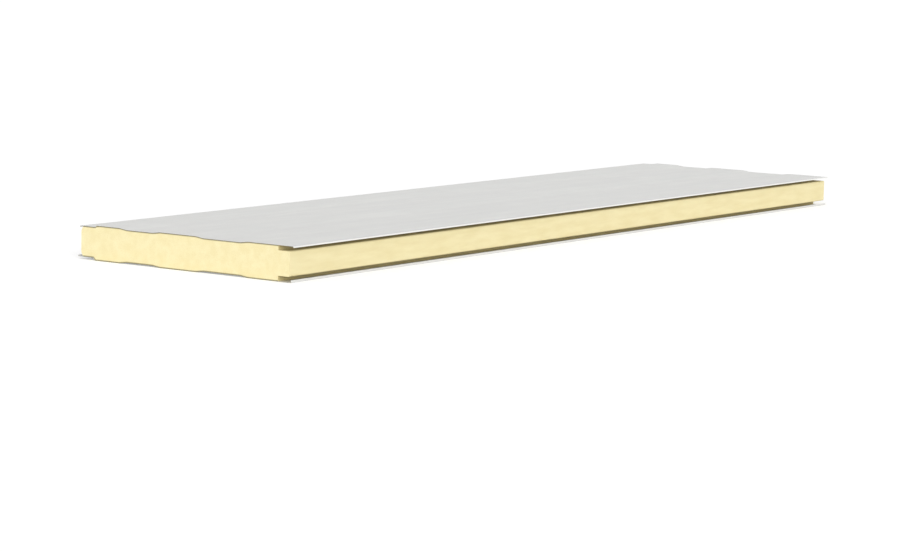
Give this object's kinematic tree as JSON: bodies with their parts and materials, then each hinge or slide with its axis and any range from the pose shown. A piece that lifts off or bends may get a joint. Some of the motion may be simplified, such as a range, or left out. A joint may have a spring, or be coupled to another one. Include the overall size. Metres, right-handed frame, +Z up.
{
  "type": "insulated sandwich panel",
  "caption": "Flat building panel of two thin profiled steel facings on a rigid foam core, with a grooved socket edge and a stepped tongue edge that join it to the next panel.",
  "frame": {"origin": "middle of the underside of the bounding box", "axes": "+X along the length, +Y across the panel from the socket edge to the tongue edge, +Z up through the thickness"},
  "size_m": [4.65, 1.154, 0.15],
  "materials": {
    "coated_steel_sheet": "satin light grey coil coating",
    "rigid_foam": "pale yellow sawn and moulded rigid foam",
    "foil_tape": "dull grey foil"
  },
  "bodies": {
    "root": {"top_facing_sheet": "coated_steel_sheet", "bottom_facing_sheet": "coated_steel_sheet", "foam_core": "rigid_foam", "edge_foil": "foil_tape"}
  },
  "joints": []
}
